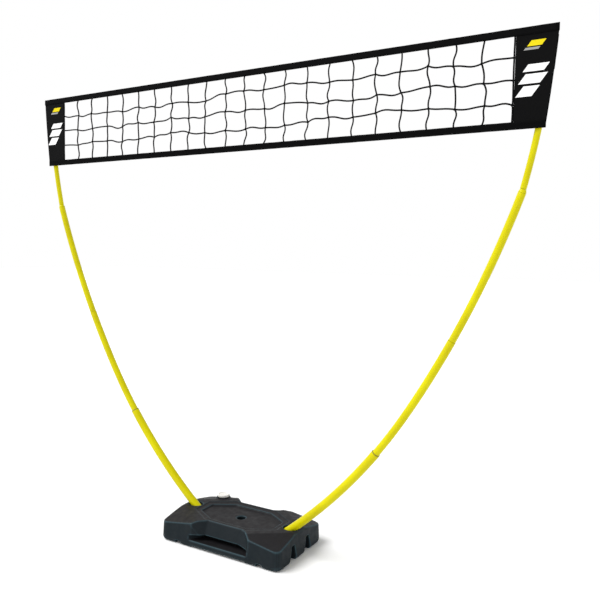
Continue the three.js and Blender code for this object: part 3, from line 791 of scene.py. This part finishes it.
def tape_section(height, half):
    """A folded tape cut across, as (across, down from the fold) round its outline."""
    stitch = height - STITCH_FROM_EDGE
    layer = [
        (TAPE_SLOT, height), (half * 0.9, height), (half, height - TAPE_HEM),
        (half, stitch + STITCH_HALF), (half + STITCH_HEIGHT, stitch),
        (half, stitch - STITCH_HALF),
    ]
    mirrored = [(-across, down) for across, down in layer]
    fold = []
    for k in range(11):
        angle = math.pi * k / 10
        rise = (TAPE_FOLD - FOLD_TOP) * math.sin(angle)
        fold.append((-half * math.cos(angle), TAPE_FOLD - rise))
    inside = [(TAPE_SLOT, TAPE_FOLD), (0, TAPE_CREASE), (-TAPE_SLOT, TAPE_FOLD)]
    return mirrored + fold + layer[::-1] + inside


def tape_mesh(node, up):
    """A tape along its node, with its fold above (up is 1) or below (-1), puckered a little."""
    low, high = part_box(node)
    middle = (low.y + high.y) / 2
    fold_z = high.z if up > 0 else low.z
    section = tape_section(high.z - low.z, (high.y - low.y) / 2 - TAPE_INSET)
    steps = round((high.x - low.x) / TAPE_STEP)
    verts = []
    for i in range(steps + 1):
        x = low.x + (high.x - low.x) * i / steps
        pucker = noise.noise(Vector((x * PUCKER_RATE, up * 3.0, SEED))) * PUCKER
        for across, down in section:
            swell = 1 + SWELL * noise.noise(Vector((x * 55, down * 120, across * 400)))
            z = fold_z - up * (down * (1 + pucker * 8) + 0.0003)
            verts.append((x, middle + across * swell, z + pucker * 0.4))
    count = len(section)
    faces = ring_faces(steps + 1, count, closed=False)
    faces.append(tuple(range(count)))
    faces.append(tuple(steps * count + k for k in reversed(range(count))))
    return mesh_from(node, verts, faces)


def build_tapes():
    """The folded tapes above and below the netting."""
    material = tape_weave()
    for node, up in (("top_band", 1), ("bottom_band", -1)):
        piece = new_piece(f"{node}_tape", tape_mesh(node, up), "net", node, material)
        low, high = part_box(node)


# ---- the end panels ----
PANEL_COLUMNS = 30
PANEL_ROWS = 72
PANEL_BOW = 0.0016                  # how far the outer edge curves out
PANEL_FULL = 0.86                   # share of the CAD node's thickness in the panel's middle
PANEL_EDGE = 0.35                   # and at its edges
HEM_HEIGHT = 0.0004
HEM_SHARE = 1 / 14                  # of the panel's width
PULL_DEPTH = 0.0009


def panel_reach(hand):
    """A panel's bottom and top heights, and how far out its outer edge is at each."""
    reach = {}
    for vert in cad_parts[f"{hand}_panel"].data.vertices:
        height = round(vert.co.z, 4)
        reach[height] = max(reach.get(height, 0), abs(vert.co.x))
    bottom, top = min(reach), max(reach)
    return bottom, top, reach[bottom], reach[top]


def panel_points(hand, side):
    """The front and the back face of a panel, row by row from the bottom."""
    bottom, top, reach_bottom, reach_top = panel_reach(hand)
    low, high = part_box("right_panel")
    middle, thick = (low.y + high.y) / 2, (high.y - low.y) / 2
    verts = []
    for face in (-1, 1):
        for row in range(PANEL_ROWS + 1):
            up = row / PANEL_ROWS
            z = bottom + (top - bottom) * up
            calm = math.sin(math.pi * up)
            outer = reach_bottom + (reach_top - reach_bottom) * up + PANEL_BOW * calm
            for column in range(PANEL_COLUMNS + 1):
                share = column / PANEL_COLUMNS
                x = low.x + (outer - low.x) * share
                from_edge = min(share, 1 - share)
                hem = HEM_HEIGHT * (1 - min(1.0, from_edge / HEM_SHARE))
                full = PANEL_FULL if 0 < column < PANEL_COLUMNS else PANEL_EDGE
                pull = noise.noise(Vector((x * 22, z * 7, SEED + side))) * PULL_DEPTH
                y = middle + face * (thick * full + hem) + pull * calm
                verts.append((side * x, y, z))
    return verts


def two_sided_grid(columns, rows):
    """Faces of two equal grids of points, front and back, joined round their edges."""
    width = columns + 1
    last = rows * width
    count = last + width
    faces = []
    for row in range(rows):
        for column in range(columns):
            a = row * width + column
            quad = (a, a + 1, a + width + 1, a + width)
            faces.append(quad)
            faces.append(tuple(index + count for index in reversed(quad)))
    rim = list(range(width))
    rim += range(width + columns, count, width)
    rim += range(count - 2, last - 1, -1)
    rim += range(last - width, 0, -width)
    faces += [(a, b, b + count, a + count) for a, b in zip(rim, rim[1:] + rim[:1])]
    return faces


def build_panels():
    """End panels of doubled fabric: hems at the sides and shallow pull lines."""
    material = fabric("panel_fabric", prints=True)
    faces = two_sided_grid(PANEL_COLUMNS, PANEL_ROWS)
    for hand, side in HANDS.items():
        mesh = mesh_from("panel", panel_points(hand, side), faces)
        piece = new_piece(f"{hand}_end_panel", mesh, "net", f"{hand}_panel", material)
        bottom, top, reach_bottom, reach_top = panel_reach(hand)


# ---- the sleeves on the panels' backs ----
# each sleeve's flat size, and the room beside the pole on its inner side
SLEEVES = {"pocket": ((0.077, 0.085), 0.009), "loop": ((0.087, 0.041), 0.024)}
SLEEVE_VOXEL = 0.0008
OUTER_ROOM = 0.0026                 # beside the pole on the outer side
SLEEVE_WALL = 0.0016
SLEEVE_ROUNDING = 0.32              # share of the depth lost at a sleeve's sides
SLEEVE_RUFFLE = 0.06


def pole_at(height):
    """The X of the right pole's centre line at a height inside the sleeves."""
    low, high = 0.0, upper.length
    while high - low > 1e-5:
        middle = (low + high) / 2
        if upper.walk(middle)[1] < height:
            low = middle
        else:
            high = middle
    return upper.walk(low)[0]


def round_back(mesh, side, room):
    """Rounds a sleeve's flat back on both sides of where the pole moves inside it."""
    front = min(vert.co.y for vert in mesh.vertices)
    for vert in mesh.vertices:
        beside = side * vert.co.x - pole_at(vert.co.z)
        if beside > 0:
            share = beside / (OUTER["upper"] + OUTER_ROOM + SLEEVE_WALL)
        else:
            share = max(0.0, -beside - room) / (OUTER["upper"] + SLEEVE_WALL)
        loss = SLEEVE_ROUNDING + SLEEVE_RUFFLE * noise.noise(Vector(vert.co) * 45)
        vert.co.y = front + (vert.co.y - front) * (1 - loss * min(share, 1.0) ** 2)


def build_sleeves():
    """A closed pocket over each pole's tip and an open loop below it."""
    material = fabric("sleeve_fabric")
    for hand, side in HANDS.items():
        for part, (flat, room) in SLEEVES.items():
            node = f"{hand}_{part}"
            mesh = smooth_solid(part, node, SLEEVE_VOXEL)
            round_back(mesh, side, room)
            piece = new_piece(f"{node}_sleeve", mesh, "net", node, material)


# ---- camera, floor and light ----
FOCAL = 39.0                        # millimetres on the sensor
SENSOR = 36.0
CAMERA_PLACE = Vector((1.2204, -1.7616, 0.9579))
AZIMUTH = math.radians(29.78)
PITCH = math.radians(3.84)
ROLL = math.radians(1.05)
FLOOR_REACH = 30
FLOOR_DROP = 0.0005
SUN_STRENGTH = 2.9
SUN_SPREAD = math.radians(40)
SUN_AIM = Vector((0.55, 0.45, -1.0))
WHITE_BELOW = math.radians(30)      # the sky is white up to here ...
DIM_ABOVE = math.radians(55)        # ... and dim from here up
DIM_SKY = 0.3


def build_camera():
    """The photograph's viewpoint, looking a little down and rolled a little."""
    forward = Vector((-math.sin(AZIMUTH) * math.cos(PITCH),
                      math.cos(AZIMUTH) * math.cos(PITCH), -math.sin(PITCH)))
    level = Vector((math.cos(AZIMUTH), math.sin(AZIMUTH), 0))
    above = level.cross(forward)
    right = level * math.cos(ROLL) + above * math.sin(ROLL)
    above = above * math.cos(ROLL) - level * math.sin(ROLL)
    camera = bpy.data.objects.new("camera", bpy.data.cameras.new("camera"))
    scene.collection.objects.link(camera)
    camera.data.lens = FOCAL
    camera.data.sensor_width = SENSOR
    turn = Matrix((right, above, -forward)).transposed().to_4x4()
    camera.matrix_world = Matrix.Translation(CAMERA_PLACE) @ turn
    scene.camera = camera


def build_floor():
    """A plain pale floor just under the tank's feet."""
    verts = [(x * FLOOR_REACH, y * FLOOR_REACH, -FLOOR_DROP) for x, y in CORNERS]
    mesh = mesh_from("floor", verts, [(0, 1, 2, 3)], smooth=False)
    floor = bpy.data.objects.new("floor", mesh)
    scene.collection.objects.link(floor)
    s = Shader("studio_floor", Roughness=1.0, Specular_IOR_Level=0.0)
    s.colour(s.mix(s.noise(0.8, 2), (0.90, 0.90, 0.90, 1), (0.92, 0.92, 0.92, 1)))
    mesh.materials.append(s.material)
    floor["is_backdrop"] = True


def build_sun():
    """A wide soft sun from the upper left."""
    sun = bpy.data.lights.new("sun", "SUN")
    sun.energy = SUN_STRENGTH
    sun.angle = SUN_SPREAD
    lamp = bpy.data.objects.new("sun", sun)
    scene.collection.objects.link(lamp)
    lamp.matrix_world = SUN_AIM.to_track_quat("-Z", "Y").to_matrix().to_4x4()


def build_sky():
    """A sky that is white round the horizon and dimmer overhead."""
    world = bpy.data.worlds.new("studio")
    scene.world = world
    world.use_nodes = True
    nodes, links = world.node_tree.nodes, world.node_tree.links
    coords = nodes.new("ShaderNodeTexCoord")
    split = nodes.new("ShaderNodeSeparateXYZ")
    fade = nodes.new("ShaderNodeMapRange")
    limits = {"From Min": math.sin(WHITE_BELOW), "From Max": math.sin(DIM_ABOVE),
              "To Min": 1.0, "To Max": DIM_SKY}
    for key, value in limits.items():
        fade.inputs[key].default_value = value
    links.new(coords.outputs["Generated"], split.inputs[0])
    links.new(split.outputs["Z"], fade.inputs["Value"])
    links.new(fade.outputs[0], nodes["Background"].inputs["Strength"])
    nodes["Background"].inputs["Color"].default_value = (1, 1, 1, 1)
    scene.view_settings.view_transform = "Standard"


build_camera()
build_floor()
build_sun()
build_sky()
build_tank()
build_filler()
build_poles()
cord = twisted_cord()
build_netting(cord)
build_tapes()
build_panels()
build_sleeves()
for node in ("top_cord", "bottom_cord"):
    repaint(node, cord)

boxes = {"cad": cad_box, "visual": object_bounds()}
({key: [[float(v) for v in corner] for corner in box]
           for key, box in boxes.items()})
